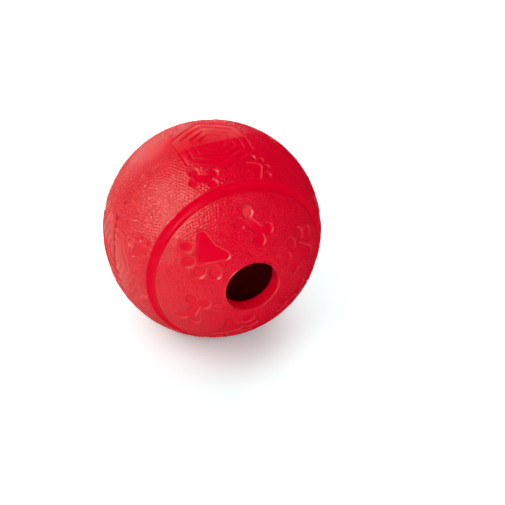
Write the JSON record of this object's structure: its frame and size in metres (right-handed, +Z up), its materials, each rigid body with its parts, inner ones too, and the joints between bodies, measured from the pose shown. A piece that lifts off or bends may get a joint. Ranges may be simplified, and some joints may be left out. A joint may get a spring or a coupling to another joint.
{
  "type": "treat dispensing ball",
  "caption": "Hollow rubber ball with a round treat hole, smooth ring channels, stepped hexagon panels and paw and bone relief, and an inner maze wall that lets snacks out slowly as it rolls.",
  "frame": {"origin": "centre of the ball, on the treat hole's axis in the plane of the seam", "axes": "+Z up through the middle of the top hexagon panel, -Y out of the treat hole, X across, parallel to the seam"},
  "size_m": [0.0678, 0.0688, 0.0678],
  "materials": {
    "red_rubber": "moulded natural rubber, satin with a pebbled grain",
    "bond_rubber": "cured bonding rubber, matt",
    "inner_rubber": "plain moulded rubber, matt"
  },
  "bodies": {
    "root": {"front_shell": "red_rubber", "rear_shell": "red_rubber", "seam_bond": "bond_rubber", "maze_disc": "inner_rubber"}
  },
  "joints": []
}
